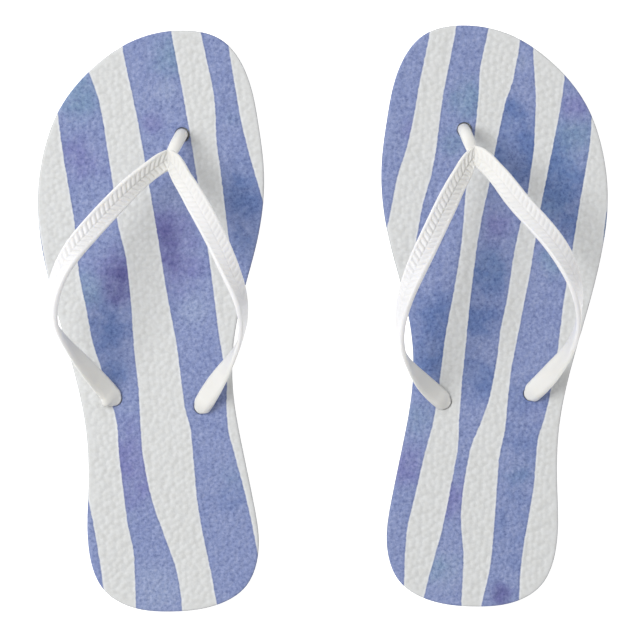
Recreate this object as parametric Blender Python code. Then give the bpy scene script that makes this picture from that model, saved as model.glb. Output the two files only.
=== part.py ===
"""A pair of flip flops. Each has a sole of three bonded rubber layers, a moulded Y strap whose
toe post and two rear stems pass down through the sole, and three buttons that hold the stems.

The left one is described in its own frame: x towards the inner side of the foot, y from the heel
to the toe, z up from the ground, all in millimetres. The right one has the same sole, mirrored,
and a strap that settled into a slightly different bow.
"""
import math

import bmesh
import bpy
import numpy as np

MM = 0.001

# The pair
SOLE_LENGTH = 254.2
AXIS_SPACING = 129.5        # between the two soles' own y axes
RIGHT_LEAD = 2.2            # how much further forward the right one lies
GAP = 0.3                   # between pieces that touch

# The sole
HEEL_HEIGHT, TOE_HEIGHT = 17.0, 13.5
SLOPE_START, SLOPE_LENGTH = 60.0, 90.0
OUTSOLE_THICKNESS = 3.5
FOOTBED_THICKNESS = 2.0
SOLE_ROWS = 36              # rows of faces from heel to toe
SOLE_COLUMNS = 4
OUTLINE = [                 # once round the sole, from the heel up the inner side
    (-2.0, 0.0), (16.5, 2.3), (31.0, 10.8), (36.7, 27.0), (34.8, 46.0), (29.8, 70.5),
    (26.0, 92.0), (25.3, 112.0), (29.2, 136.0), (34.6, 156.0), (38.3, 175.0), (39.0, 193.0),
    (36.5, 214.0), (31.5, 235.0), (20.5, 250.0), (3.0, 254.2), (-18.0, 249.8), (-36.0, 237.6),
    (-50.0, 220.5), (-57.8, 199.0), (-60.0, 178.0), (-57.6, 156.0), (-51.0, 129.0),
    (-43.6, 103.0), (-38.6, 78.0), (-37.8, 52.0), (-37.2, 25.0), (-30.5, 9.0), (-18.0, 1.7),
]

# Holes and what goes through them
TOE_HOLE = (3.0, 208.5)
OUTER_HOLE = (-26.3, 93.1)
INNER_HOLE = (11.7, 89.6)
STEM_RADIUS = 2.75
HEAD_RADIUS = 3.9
HEAD_BOTTOM, HEAD_TOP = 0.6, 1.4
BUTTON_RADIUS = 7.5
BUTTON_BOTTOM = 0.5
BUTTON_SHELF = HEAD_TOP + GAP

# The strap
BAND_WIDTH, BAND_THICKNESS = 9.8, 2.4
SEAM_WIDTH = 10.0           # length of the mitre between the two arms
SEAM_RISE = 0.42            # how steeply the mitre climbs towards the heel
SEAM_BLEND = 9.0            # distance over which an arm turns square to its own path
SEAM_HEIGHT = 32.6
POST_TOP_THICKNESS = 2.0
ARM_STEPS = 26
POST_STEPS = 9
SHOULDER_CLEARANCE = GAP

# Each arm from the mitre to its hole: x, y, z and the roll of the band in degrees. At 0 the band
# lies flat with its outer face up, at 90 it stands on edge, past 90 it leans outwards.
ARMS = {
    "left": {
        "seam": (-2.6, 197.0),
        "outer": [
            (-9.9, 192.4, 37.0, 2), (-23.2, 180.4, 45.5, 9), (-37.2, 165.1, 52.8, 20),
            (-46.8, 152.0, 56.0, 38), (-51.6, 139.5, 55.0, 60), (-51.8, 127.5, 49.5, 82),
            (-47.2, 118.0, 41.0, 105), (-38.8, 107.5, 30.5, 136), (-31.2, 98.6, 21.0, 152),
        ],
        "inner": [
            (3.0, 189.8, 37.3, 2), (10.0, 178.4, 44.5, 8), (18.8, 162.0, 51.5, 18),
            (25.2, 147.5, 55.5, 34), (29.4, 135.5, 55.0, 60), (30.2, 125.0, 49.5, 80),
            (27.3, 114.5, 40.5, 98), (21.6, 105.0, 30.5, 130), (16.0, 96.6, 21.2, 150),
        ],
    },
    "right": {
        "seam": (-1.5, 196.5),
        "outer": [
            (-8.9, 190.8, 37.5, 2), (-19.2, 177.9, 45.5, 8), (-30.5, 165.0, 52.0, 16),
            (-39.5, 152.5, 55.5, 30), (-45.2, 138.5, 54.5, 64), (-46.4, 126.0, 48.5, 90),
            (-43.0, 113.5, 38.5, 114), (-36.2, 103.8, 28.0, 142), (-30.4, 97.2, 20.2, 154),
        ],
        "inner": [
            (3.8, 189.0, 37.5, 2), (10.5, 176.5, 45.0, 8), (18.8, 159.2, 52.0, 16),
            (25.5, 144.5, 56.0, 32), (29.8, 132.0, 55.0, 56), (31.3, 120.5, 49.0, 76),
            (29.2, 109.5, 39.5, 94), (23.5, 100.8, 29.0, 128), (17.0, 94.3, 20.6, 150),
        ],
    },
}

# One half of the band's section, as fractions of half the width and half the thickness: outer
# face with its sunken middle and raised rim, rounded edge, plain inner face.
HALF_SECTION = [(0.56, 0.58), (0.68, 1.0), (0.86, 0.94), (1.0, 0.4), (0.98, -0.5), (0.8, -1.0)]
SECTION = ([(0.0, 0.58)] + HALF_SECTION + [(0.0, -1.0)]
           + [(-u, v) for u, v in reversed(HALF_SECTION)])

COLOURS = {                 # name: (red, green, blue), roughness
    "footbed_print": ((0.50, 0.56, 0.78), 0.75),
    "white_foam": ((0.88, 0.89, 0.88), 0.8),
    "white_rubber": ((0.84, 0.85, 0.84), 0.7),
    "strap_rubber": ((0.92, 0.92, 0.91), 0.4),
    "button_rubber": ((0.86, 0.87, 0.87), 0.5),
}


def smooth(t):
    """Ease from 0 to 1."""
    t = np.clip(t, 0.0, 1.0)
    return t * t * (3.0 - 2.0 * t)


def material(name):
    found = bpy.data.materials.get(name)
    if found:
        return found
    colour, roughness = COLOURS[name]
    made = bpy.data.materials.new(name)
    made.use_nodes = True
    shader = made.node_tree.nodes["Principled BSDF"]
    shader.inputs["Base Color"].default_value = (*colour, 1.0)
    shader.inputs["Roughness"].default_value = roughness
    shader.inputs["Metallic"].default_value = 0.0
    made.diffuse_color = (*colour, 1.0)
    return made


def make_object(name, vertices, faces, side, material_name):
    """A named solid, taken from one foot's frame in millimetres to the pair's in metres."""
    direction = 1.0 if side == "left" else -1.0
    half = AXIS_SPACING / 2
    lead = RIGHT_LEAD / 2 if side == "right" else -RIGHT_LEAD / 2
    placed = [
        (direction * (x - half) * MM, (y - SOLE_LENGTH / 2 + lead) * MM, z * MM)
        for x, y, z in vertices
    ]
    mesh = bpy.data.meshes.new(name)
    mesh.from_pydata(placed, [], faces)
    work = bmesh.new()
    work.from_mesh(mesh)
    bmesh.ops.recalc_face_normals(work, faces=work.faces)
    work.to_mesh(mesh)
    work.free()
    mesh.materials.append(material(material_name))
    made = bpy.data.objects.new(name, mesh)
    bpy.context.collection.objects.link(made)
    return made


def combine(target, others, operation):
    """Cut the others out of the target, or join them to it, for good."""
    for other in others:
        modifier = target.modifiers.new("combine", "BOOLEAN")
        modifier.operation = operation
        modifier.solver = "EXACT"
        modifier.object = other
    bpy.context.view_layer.update()
    evaluated = target.evaluated_get(bpy.context.evaluated_depsgraph_get())
    mesh = bpy.data.meshes.new_from_object(evaluated)
    target.modifiers.clear()
    old = target.data
    target.data = mesh
    bpy.data.meshes.remove(old)
    for other in others:
        bpy.data.objects.remove(other)


def shade(made):
    made.data.shade_smooth()
    made.data.set_sharp_from_angle(angle=math.radians(40))


# ---- Sole -----------------------------------------------------------------------------------

def sole_height(y):
    """Height of the footbed above the ground, a little more under the heel."""
    fall = smooth((y - SLOPE_START) / SLOPE_LENGTH)
    return HEEL_HEIGHT - (HEEL_HEIGHT - TOE_HEIGHT) * fall


def closed_spline(points, per_span=24):
    """A smooth closed curve through the points."""
    points = np.array(points)
    count = len(points)
    step = np.linalg.norm(np.roll(points, -1, 0) - points, axis=1)
    system = np.zeros((count, count))
    right = np.zeros((count, 2))
    for i in range(count):
        j = (i + 1) % count
        system[i, i - 1] += step[i - 1]
        system[i, i] += 2 * (step[i - 1] + step[i])
        system[i, j] += step[i]
        right[i] = 6 * ((points[j] - points[i]) / step[i]
                        - (points[i] - points[i - 1]) / step[i - 1])
    bend = np.linalg.solve(system, right)
    places = []
    for i in range(count):
        j = (i + 1) % count
        for k in range(per_span):
            b = k / per_span
            a = 1 - b
            places.append(a * points[i] + b * points[j]
                          + ((a**3 - a) * bend[i] + (b**3 - b) * bend[j]) * step[i]**2 / 6)
    return np.array(places)


def sole_rim(rows):
    """The outline as a closed list: heel, up the inner side, toe, down the outer side.

    Places i and 2 * rows - i face each other, so straight rows can span the sole.
    """
    curve = closed_spline(OUTLINE)
    curve = np.roll(curve, -int(curve[:, 1].argmin()), 0)
    toe = int(curve[:, 1].argmax())
    inner = curve[:toe + 1]
    outer = np.vstack([curve[toe:], curve[:1]])[::-1]
    turn = np.linspace(0.0, math.pi, rows + 1)
    low, high = curve[0][1], curve[toe][1]
    y = low + (high - low) * (1 - np.cos(turn)) / 2
    up = np.column_stack([np.interp(y, inner[:, 1], inner[:, 0]), y])
    down = np.column_stack([np.interp(y, outer[:, 1], outer[:, 0]), y])[::-1]
    return np.vstack([up, down[1:-1]])


def inset(rim, distance):
    """The rim moved inwards."""
    along = np.roll(rim, -1, 0) - np.roll(rim, 1, 0)
    along /= np.linalg.norm(along, axis=1)[:, None]
    return rim + distance * np.column_stack([-along[:, 1], along[:, 0]])


def layered_slab(rings):
    """Vertices and faces of a slab. Each ring is (inset, height as a function of y)."""
    rim = sole_rim(SOLE_ROWS)
    count = len(rim)
    vertices, faces = [], []
    for distance, height in rings:
        vertices += [(x, y, float(height(y))) for x, y in inset(rim, distance)]
    for level in range(len(rings) - 1):
        low, high = level * count, (level + 1) * count
        for i in range(count):
            j = (i + 1) % count
            faces.append((low + i, low + j, high + j, high + i))
    for level in (0, len(rings) - 1):
        start = level * count
        height = rings[level][1]
        heel, toe = start, start + SOLE_ROWS
        before = None
        for i in range(1, SOLE_ROWS):
            inner, outer = start + i, start + count - i
            first, last = np.array(vertices[inner][:2]), np.array(vertices[outer][:2])
            row = [inner]
            for column in range(1, SOLE_COLUMNS):
                x, y = first + (last - first) * column / SOLE_COLUMNS
                row.append(len(vertices))
                vertices.append((x, y, float(height(y))))
            row.append(outer)
            for a, b, c, d in zip(before or row, (before or row)[1:], row[1:], row):
                faces.append((heel, c, d) if before is None else (a, b, c, d))
            before = row
        faces += [(toe, a, b) for a, b in zip(before, before[1:])]
    return vertices, faces


def drill(place, radius, side):
    """A cutter through the whole sole."""
    segments = 20
    vertices = []
    for z in (-5.0, 30.0):
        for k in range(segments):
            angle = 2 * math.pi * k / segments
            vertices.append((place[0] + radius * math.cos(angle),
                             place[1] + radius * math.sin(angle), z))
    faces = [tuple(range(segments)), tuple(range(segments, 2 * segments))]
    faces += [(k, (k + 1) % segments, segments + (k + 1) % segments, segments + k)
              for k in range(segments)]
    return make_object("cutter", vertices, faces, side, "white_rubber")


def sole_layer(name, rings, hole_radius, side, material_name):
    made = make_object(f"{side}_{name}", *layered_slab(rings), side, material_name)
    holes = [drill(place, hole_radius, side) for place in (TOE_HOLE, OUTER_HOLE, INNER_HOLE)]
    combine(made, holes, "DIFFERENCE")
    shade(made)


def build_sole(side):
    midsole_bottom = OUTSOLE_THICKNESS + GAP
    sole_layer("outsole", [
        (1.2, lambda y: 0.0), (0.3, lambda y: 0.5), (0.0, lambda y: 1.4),
        (0.0, lambda y: OUTSOLE_THICKNESS),
    ], BUTTON_RADIUS + GAP, side, "white_rubber")
    sole_layer("midsole", [
        (0.0, lambda y: midsole_bottom),
        (0.0, lambda y: sole_height(y) - FOOTBED_THICKNESS - GAP),
    ], STEM_RADIUS + GAP, side, "white_foam")
    sole_layer("footbed", [
        (0.0, lambda y: sole_height(y) - FOOTBED_THICKNESS), (0.0, lambda y: sole_height(y) - 0.9),
        (0.3, lambda y: sole_height(y) - 0.25), (1.0, sole_height),
    ], STEM_RADIUS + GAP, side, "footbed_print")


# ---- Strap ----------------------------------------------------------------------------------

def open_spline(points, per_span=16):
    """A smooth open curve through the points, straight at its ends, evenly dense."""
    points = np.array(points, dtype=float)
    count = len(points)
    step = np.linalg.norm(np.diff(points[:, :3], axis=0), axis=1)
    system = np.eye(count)
    right = np.zeros_like(points)
    for i in range(1, count - 1):
        system[i, i - 1:i + 2] = step[i - 1], 2 * (step[i - 1] + step[i]), step[i]
        right[i] = 6 * ((points[i + 1] - points[i]) / step[i]
                        - (points[i] - points[i - 1]) / step[i - 1])
    bend = np.linalg.solve(system, right)
    places = []
    for i in range(count - 1):
        for k in range(per_span):
            b = k / per_span
            a = 1 - b
            places.append(a * points[i] + b * points[i + 1]
                          + ((a**3 - a) * bend[i] + (b**3 - b) * bend[i + 1]) * step[i]**2 / 6)
    places.append(points[-1])
    return np.array(places)


def ring(centre, across, out, width, thickness, roundness):
    """The strap's section at one place, from the band's shape (0) to an ellipse (1)."""
    count = len(SECTION)
    places = []
    for k, (u, v) in enumerate(SECTION):
        angle = math.pi / 2 - 2 * math.pi * k / count
        u = u + (math.cos(angle) - u) * roundness
        v = v + (math.sin(angle) - v) * roundness
        places.append(centre + across * (u * width / 2) + out * (v * thickness / 2))
    return places


def unit(vector):
    return vector / np.linalg.norm(vector)


def stem_rings(place, across, out, top):
    """A round stem down through the sole, ending in a head inside its button."""
    levels = [
        (top, STEM_RADIUS), (HEAD_TOP + 0.1, STEM_RADIUS), (HEAD_TOP, HEAD_RADIUS),
        (HEAD_BOTTOM + 0.3, HEAD_RADIUS), (HEAD_BOTTOM, HEAD_RADIUS - 0.4),
    ]
    return [ring(np.array((*place, z)), across, out, 2 * radius, 2 * radius, 1.0)
            for z, radius in levels]


def arm_rings(seam, rows, hole, turn):
    """Rings of one arm and its stem, from the mitre down. turn is +1 or -1, the side on which
    the inner edge of the band lies when looking along the arm."""
    surface = sole_height(hole[1])
    foot = (*hole, surface + SHOULDER_CLEARANCE, rows[-1][3] + 8)
    path = open_spline([(*seam, SEAM_HEIGHT, 0.0), *rows, foot])
    length = np.concatenate([[0.0], np.cumsum(np.linalg.norm(np.diff(path[:, :3], axis=0), axis=1))])
    total = length[-1]
    stops = np.append(np.linspace(0.0, total - 4.5, ARM_STEPS), [total - 2.6, total - 1.1, total])
    seam_across = unit(np.array((0.0, -1.0, SEAM_RISE)))
    rings = []
    for stop in stops:
        place = np.array([np.interp(stop, length, path[:, k]) for k in range(4)])
        ahead = np.array([np.interp(stop + 0.5, length, path[:, k]) for k in range(3)])
        behind = np.array([np.interp(stop - 0.5, length, path[:, k]) for k in range(3)])
        tangent = unit(ahead - behind)
        level = unit(np.array((-tangent[1] * turn, tangent[0] * turn, 0.0)))
        to_end = total - stop
        plunge = smooth(1 - to_end / 5.0)
        tangent = unit(tangent * (1 - plunge) + np.array((0.0, 0.0, -1.0)) * plunge)
        up = unit(np.cross(tangent, level) * turn)
        roll = math.radians(place[3])
        across = level * math.cos(roll) + up * math.sin(roll)
        square = smooth(stop / SEAM_BLEND)
        across = unit(seam_across * (1 - square) + across * square)
        out = unit(np.cross(tangent, across) * turn)
        width = np.interp(to_end, (0.0, 1.4, 5.0, 14.0), (6.4, 8.8, 9.4, BAND_WIDTH))
        width = min(width, np.interp(stop, (0.0, 6.0, 26.0), (SEAM_WIDTH, 8.5, BAND_WIDTH)))
        thickness = np.interp(to_end, (0.0, 1.4, 5.0, 14.0), (5.6, 4.6, 3.4, BAND_THICKNESS))
        roundness = np.interp(to_end, (0.0, 1.4, 6.0), (1.0, 0.6, 0.0))
        if stop == 0.0:
            out = unit(np.array((0.0, SEAM_RISE, 1.0)))
        rings.append(ring(place[:3], across, out, width, thickness, roundness))
    return rings + stem_rings(hole, across, out, surface - 0.1)


def post_rings(seam):
    """Rings of the toe post, from inside the mitre down through the sole."""
    surface = sole_height(TOE_HOLE[1])
    foot = np.array((*TOE_HOLE, surface))
    top = np.array((*seam, SEAM_HEIGHT))
    lean = unit(np.array((seam[0] - TOE_HOLE[0], seam[1] - TOE_HOLE[1], 0.0)))
    arrival = unit(lean + np.array((0.0, 0.0, SEAM_RISE)))
    controls = [top, top - arrival * 8.5, foot + np.array((0.0, 0.0, 9.0)), foot]
    rings = []
    for step in range(POST_STEPS + 1):
        t = step / POST_STEPS
        weights = ((1 - t)**3, 3 * t * (1 - t)**2, 3 * t**2 * (1 - t), t**3)
        place = sum(w * c for w, c in zip(weights, controls))
        slopes = (-(1 - t)**2, (1 - t)**2 - 2 * t * (1 - t), 2 * t * (1 - t) - t**2, t**2)
        tangent = unit(sum(s * c for s, c in zip(slopes, controls)))
        across = unit(np.cross(tangent, np.array((0.0, 1.0, 0.3))))
        out = np.cross(across, tangent)
        swell = smooth(t / 0.45)
        thickness = POST_TOP_THICKNESS + (2 * STEM_RADIUS - POST_TOP_THICKNESS) * swell
        rings.append(ring(place, across, out, 2 * STEM_RADIUS, thickness, 1.0))
    return rings + stem_rings(TOE_HOLE, across, out, surface - 1.5)


def tube(rings):
    """Vertices and faces of a closed skin over the rings."""
    count = len(rings[0])
    vertices = [tuple(place) for places in rings for place in places]
    faces = [tuple(range(count)), tuple(range(len(vertices) - count, len(vertices)))]
    for level in range(len(rings) - 1):
        low = level * count
        for k in range(count):
            j = (k + 1) % count
            faces.append((low + k, low + j, low + count + j, low + count + k))
    return vertices, faces


def build_strap(side):
    arms = ARMS[side]
    outer = arm_rings(arms["seam"], arms["outer"], OUTER_HOLE, 1.0)
    inner = arm_rings(arms["seam"], arms["inner"], INNER_HOLE, -1.0)
    both = outer[:0:-1] + inner
    strap = make_object(f"{side}_strap", *tube(both), side, "strap_rubber")
    post = make_object("post", *tube(post_rings(arms["seam"])), side, "strap_rubber")
    combine(strap, [post], "UNION")
    shade(strap)


# ---- Buttons --------------------------------------------------------------------------------

def build_button(name, place, side):
    """A turned disc with a hole for the stem and a recess for the stem's head."""
    hole = STEM_RADIUS + GAP
    recess = HEAD_RADIUS + GAP
    profile = [
        (hole, OUTSOLE_THICKNESS), (BUTTON_RADIUS, OUTSOLE_THICKNESS),
        (BUTTON_RADIUS, BUTTON_BOTTOM + 0.6), (BUTTON_RADIUS - 0.6, BUTTON_BOTTOM),
        (recess, BUTTON_BOTTOM), (recess, BUTTON_SHELF), (hole, BUTTON_SHELF),
    ]
    segments = 20
    count = len(profile)
    vertices, faces = [], []
    for k in range(segments):
        angle = 2 * math.pi * k / segments
        vertices += [(place[0] + radius * math.cos(angle), place[1] + radius * math.sin(angle), z)
                     for radius, z in profile]
        ahead = (k + 1) % segments
        for i in range(count):
            j = (i + 1) % count
            faces.append((k * count + i, k * count + j, ahead * count + j, ahead * count + i))
    shade(make_object(f"{side}_{name}", vertices, faces, side, "button_rubber"))


def main():
    for old in list(bpy.data.objects):
        bpy.data.objects.remove(old)
    for side in ("left", "right"):
        build_sole(side)
        build_strap(side)
        build_button("toe_button", TOE_HOLE, side)
        build_button("outer_button", OUTER_HOLE, side)
        build_button("inner_button", INNER_HOLE, side)


main()
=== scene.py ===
"""The looks of a pair of flip flops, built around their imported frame.

Lengths are millimetres in one foot's own frame: x towards the inner side of the foot, y from the
heel to the toe, z up from the ground. place() takes them to the frame's metres.
"""
import math

import bmesh
import bpy
import numpy as np
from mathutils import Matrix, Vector
from mathutils.geometry import delaunay_2d_cdt


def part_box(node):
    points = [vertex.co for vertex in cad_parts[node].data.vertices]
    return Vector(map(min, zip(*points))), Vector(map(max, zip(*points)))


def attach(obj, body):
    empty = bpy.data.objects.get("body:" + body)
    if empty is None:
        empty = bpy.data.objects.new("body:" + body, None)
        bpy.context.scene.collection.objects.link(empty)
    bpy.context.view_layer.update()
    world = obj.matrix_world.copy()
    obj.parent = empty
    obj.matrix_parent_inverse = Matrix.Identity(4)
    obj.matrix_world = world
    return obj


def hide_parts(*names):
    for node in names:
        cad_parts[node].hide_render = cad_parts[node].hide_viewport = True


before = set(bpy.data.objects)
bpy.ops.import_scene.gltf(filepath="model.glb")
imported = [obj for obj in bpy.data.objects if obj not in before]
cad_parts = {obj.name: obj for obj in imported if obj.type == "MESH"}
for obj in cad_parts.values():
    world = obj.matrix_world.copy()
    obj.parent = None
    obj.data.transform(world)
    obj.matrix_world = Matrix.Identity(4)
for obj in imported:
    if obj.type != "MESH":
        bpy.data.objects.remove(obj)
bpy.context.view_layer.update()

MM = 0.001
SIDES = {"left": 1.0, "right": -1.0}  # which way x runs in the pair

# ---- The sole, as the frame has it ----
HEEL_HEIGHT, TOE_HEIGHT, FOOTBED_THICKNESS = 17.0, 13.5, 2.0
SLOPE_START, SLOPE_LENGTH = 60.0, 90.0
# Once round the sole, from the heel up the inner side
OUTLINE = [(-2.0, 0.0), (16.5, 2.3), (31.0, 10.8), (36.7, 27.0), (34.8, 46.0), (29.8, 70.5),
    (26.0, 92.0), (25.3, 112.0), (29.2, 136.0), (34.6, 156.0), (38.3, 175.0), (39.0, 193.0),
    (36.5, 214.0), (31.5, 235.0), (20.5, 250.0), (3.0, 254.2), (-18.0, 249.8), (-36.0, 237.6),
    (-50.0, 220.5), (-57.8, 199.0), (-60.0, 178.0), (-57.6, 156.0), (-51.0, 129.0), (-43.6, 103.0),
    (-38.6, 78.0), (-37.8, 52.0), (-37.2, 25.0), (-30.5, 9.0), (-18.0, 1.7)]
HOLES = TOE_HOLE, OUTER_HOLE, INNER_HOLE = (3.0, 208.5), (-26.3, 93.1), (11.7, 89.6)
STEM_RADIUS, HEAD_RADIUS, BUTTON_RADIUS = 2.75, 3.9, 7.5
HEAD_BOTTOM, HEAD_TOP = 0.6, 1.4  # over the ground
GAP = 0.3  # between pieces

# Detail of the sole
FOOTBED_MESH, TREAD_MESH = 0.62, 0.85  # distances between the points of the faces that show
MIDSOLE_RIM, OUTSOLE_RIM = 1.6, 1.0  # of the outlines
FLAT_MESH, MIDSOLE_TOP_MESH, MIDSOLE_BOTTOM_MESH = 9.0, 6.0, 12.0  # and of hidden faces
EDGE_CLEARANCE, HOLE_CLEARANCE = 0.7, 0.6  # of a face's points, as parts of their distance
HOLE_POINTS = 40
RIM_STEPS, ARM_STEPS = 24, 40  # points of a curve from one of its given points to the next
PRINT_SLACK = 0.2  # how much wider the printed sheet's holes are
PRINT_SLIP = 0.3  # how far to the right its toe hole lies
# Footbed, round its outside and its holes: distance in from the edge, depth under the top
FOOTBED_WALL = [(1.0, 0.0), (0.6, 0.06), (0.28, 0.22), (0.08, 0.5), (0.0, 0.9),
    (0.0, FOOTBED_THICKNESS)]
FOOTBED_LIP = [(-0.35, 0.0), (-0.1, 0.1), (0.0, 0.35), (0.0, FOOTBED_THICKNESS)]
# Midsole: distance in from the edge, part of its height
MIDSOLE_WALL = [(0.25, 1.0), (0.05, 0.98), (0.0, 0.9), (0.0, 0.5), (0.0, 0.1), (0.05, 0.02),
    (0.25, 0.0)]
# Outsole and buttons: distance in from the edge, distance from the upper or lower face
UPPER_RIM = [(0.3, 0.0), (0.08, 0.08), (0.0, 0.3)]
OUTSOLE_LOWER_WALL = [(0.0, 1.4), (0.1, 0.85), (0.35, 0.42), (0.72, 0.14), (1.2, 0.0)]
OUTSOLE_LIP = [(0.0, 0.4), (-0.15, 0.12), (-0.45, 0.0)]
GRAIN_PITCH = (2.9, 2.35)  # of the moulded grains, along and across their rows
GRAIN_LENGTH, GRAIN_WIDTH = 1.53, 1.37  # half their length and width
GRAIN_RISE, GRAIN_LEVEL = 0.41, 0.4  # relief, and the part of it under the surface
GRAIN_LEAN = math.radians(36)  # of the rows
GRAIN_SLIP, GRAIN_TURN = 0.62, 1.5  # spread of their places, in pitches, and of their directions
GRAIN_SIZE, GRAIN_SIZE_SPREAD = 0.84, 0.3
GRAIN_HEIGHT, GRAIN_HEIGHT_SPREAD = 0.75, 0.25
GRAIN_DOME = 0.8  # power that shapes the crown
GRAIN_BLOCK = 64  # rows and columns before they repeat
GRAIN_SEEDS = {"left": 11, "right": 12}
GRAIN_MARGIN, GRAIN_FADE = 0.75, 2.5  # plain edge of the sheet, and where the grain fades in
DIMPLE_DEPTH, DIMPLE_REACH = 0.7, 5.5  # where the strap's ends pull the sheet down
TREAD_PITCH, TREAD_WAVE, TREAD_SWING, TREAD_DEPTH = 6.4, 17.0, 1.9, 0.9
TREAD_BORDER, TREAD_COLLAR = 5.5, 2.5  # plain, along the rim and round the buttons
TREAD_RAMP = 1.2
TREAD_GROOVE, TREAD_FLANK = 0.52, 0.3  # of a groove, as parts of half the pitch
BUTTON_LOWER_RIM = [(0.0, 0.7), (0.06, 0.42), (0.22, 0.2), (0.5, 0.04), (0.9, 0.0)]
BUTTON_GROOVE = [(1.3, 0.0), (1.42, 0.2), (1.6, 0.26), (1.78, 0.2), (1.9, 0.0)]
BUTTON_RECESS_LIP = [(0.2, 0.0), (0.05, 0.06), (0.0, 0.2)]  # how far out from the recess
BUTTON_CHAMFER, BUTTON_POINTS, SHARP_ANGLE = 0.15, 72, math.radians(50)

# ---- The strap: as in the frame, but rolled further beside the mitre ----
BAND_WIDTH, BAND_THICKNESS = 9.8, 2.4
SEAM_WIDTH, SEAM_HEIGHT = 10.0, 32.6  # the mitre over the toe post
SEAM_RISE = 0.42  # its slope
POST_TOP_THICKNESS, POST_RINGS = 2.0, 45
POST_ROUND = 0.45  # part of its length over which it becomes round
POST_PULLS = (8.5, 9.0)  # of its curve, along the mitre's slope and up from the sole
POST_FACING = (0.0, 1.0, 0.3)
POST_STEM_DEPTH, ARM_STEM_DEPTH = 1.5, 0.1  # where the stems begin, under the sole's top
HEAD_NECK = 0.1  # how far above its head a stem is still straight
# Head: distance from the upper or lower face, distance in from the edge
HEAD_UPPER_RIM = [(0.0, 0.15), (0.1, 0.0)]
HEAD_LOWER_RIM = [(0.3, 0.0), (0.08, 0.12), (0.0, 0.4)]
# x, y, z and roll in degrees of an arm, from the mitre to its hole
ARMS = {"left": {
    "seam": (-2.6, 197.0),
    "outer": [(-9.9, 192.4, 37.0, -20), (-23.2, 180.4, 45.5, -13), (-37.2, 165.1, 52.8, 6),
        (-46.8, 152.0, 56.0, 38), (-51.6, 139.5, 55.0, 60), (-51.8, 127.5, 49.5, 82),
        (-47.2, 118.0, 41.0, 105), (-38.8, 107.5, 30.5, 136), (-31.2, 98.6, 21.0, 152)],
    "inner": [(3.0, 189.8, 37.3, -8), (10.0, 178.4, 44.5, -1), (18.8, 162.0, 51.5, 12),
        (25.2, 147.5, 55.5, 34), (29.4, 135.5, 55.0, 60), (30.2, 125.0, 49.5, 80),
        (27.3, 114.5, 40.5, 98), (21.6, 105.0, 30.5, 130), (16.0, 96.6, 21.2, 150)],
}, "right": {
    "seam": (-1.5, 196.5),
    "outer": [(-8.9, 190.8, 37.5, -8), (-19.2, 177.9, 45.5, -1), (-30.5, 165.0, 52.0, 10),
        (-39.5, 152.5, 55.5, 30), (-45.2, 138.5, 54.5, 64), (-46.4, 126.0, 48.5, 90),
        (-43.0, 113.5, 38.5, 114), (-36.2, 103.8, 28.0, 142), (-30.4, 97.2, 20.2, 154)],
    "inner": [(3.8, 189.0, 37.5, -18), (10.5, 176.5, 45.0, -11), (18.8, 159.2, 52.0, 3),
        (25.5, 144.5, 56.0, 32), (29.8, 132.0, 55.0, 56), (31.3, 120.5, 49.0, 76),
        (29.2, 109.5, 39.5, 94), (23.5, 100.8, 29.0, 128), (17.0, 94.3, 20.6, 150)],
}}

# Detail of the strap. A table holds distances along an arm, then the values there.
RING_SPACING = 0.32
SEAM_BLEND, SEAM_SETTLE = 13.0, 3.0  # how far the mitre bends an arm's edges, slopes its face
SEAM_WIDTHS = (0.0, 6.0, 26.0), (SEAM_WIDTH, 8.5, BAND_WIDTH)  # from the mitre
END_WIDTHS = (0.0, 0.5, 0.9, 5.0, 14.0), (6.4, 6.8, 8.7, 9.4, BAND_WIDTH)  # the rest from the end
THICKNESSES = (0.0, 0.5, 0.9, 5.0, 14.0), (6.0, 6.0, 5.2, 3.6, BAND_THICKNESS)
ELLIPSES = (0.0, 0.5, 1.0, 5.0, 30.0, 60.0), (1.0, 0.9, 0.7, 0.62, 0.6, 0.0)
TABS = (2.2, 2.9, 4.0, 5.2), (0.0, 1.0, 0.5, 0.0)
WIDTH_REACH, THICKNESS_REACH, ROUND_REACH = 0.3, 0.6, 0.4  # over which the sizes are softened
END_ROLL = 8  # degrees added to the roll after an arm's last row
END_PLUNGE = 5.0  # last stretch, where the arm turns straight down
HEADING_REACH = 0.5  # either way, for an arm's direction
BULGE_PEAK = 6.75  # brings t * (1 - t)**2 to 1 at its top
RIB_PITCH, RIB_POWER = 2.8, 2.4  # the power shapes the curve across a rib
RIB_LEAN = 0.62  # how far a rib runs back for each millimetre inwards
RIB_HEIGHT = 0.74  # as a fraction of half the band's thickness
RIB_START = 1.2  # where the ribs are full, from the mitre
RIB_FADE = (50.0, 104.0)  # and where they die out
RIB_PLAIN = 0.8  # level of the field beyond them, as a part of their height
RIB_PARTING = 0.08  # half the line between the two rows, as a fraction of half the width
FIELD_HALF = 0.70  # half the ribbed field, as a fraction of half the width
ARM_DETAILS = {  # share of the ribs' depth, bulge beside the mitre, tab at the end
    "left": {"outer": (0.76, 0.7, 1.6), "inner": (0.34, 1.7, 0.0)},
    "right": {"outer": (0.36, 1.0, 0.0), "inner": (0.80, 0.8, 0.0)},
}
# One half of the band's section round its rim, as fractions of half the width and thickness
RIM_SECTION = [
    (0.60, 0.40), (0.64, 0.60), (0.69, 0.82), (0.74, 0.97), (0.80, 1.02), (0.86, 0.97),
    (0.925, 0.80), (0.97, 0.52), (0.995, 0.15), (0.995, -0.25), (0.97, -0.62), (0.91, -0.86),
    (0.82, -0.98),
]
FIELD_FLOOR, FIELD_EDGE, FIELD_STEPS = 0.28, 0.58, 9
INNER_FACE = [0.66, 0.46, 0.24]

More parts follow.
